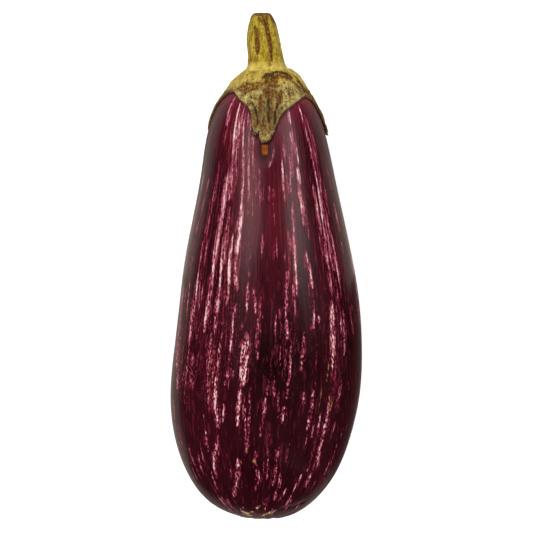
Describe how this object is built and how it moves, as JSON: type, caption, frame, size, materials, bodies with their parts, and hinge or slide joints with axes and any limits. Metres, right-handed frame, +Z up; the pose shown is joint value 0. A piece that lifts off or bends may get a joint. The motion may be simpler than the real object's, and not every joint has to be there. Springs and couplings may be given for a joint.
{
  "type": "eggplant",
  "caption": "Long pear-shaped striped eggplant with a green calyx of pointed sepals and a cut stem, lying on its side.",
  "frame": {"origin": "on the surface that the eggplant lies on, under the middle of its bounding box", "axes": "+Z up; +Y along the eggplant, from its blossom end to its stem; +X to its right side, seen from above with the stem away from the viewer"},
  "size_m": [0.0862, 0.227, 0.0838],
  "materials": {
    "striped_skin": "glossy waxy dark purple skin with broken lengthwise streaks of rose, pink and cream",
    "calyx_green": "matt olive-tan leathery sepals with brown corky patches and a thin pale rim",
    "stem_green": "matt yellow-green ridged stalk with brown corky stripes and a dry cut end"
  },
  "bodies": {
    "root": {"fruit": "striped_skin", "calyx": "calyx_green", "stem": "stem_green"}
  },
  "joints": []
}
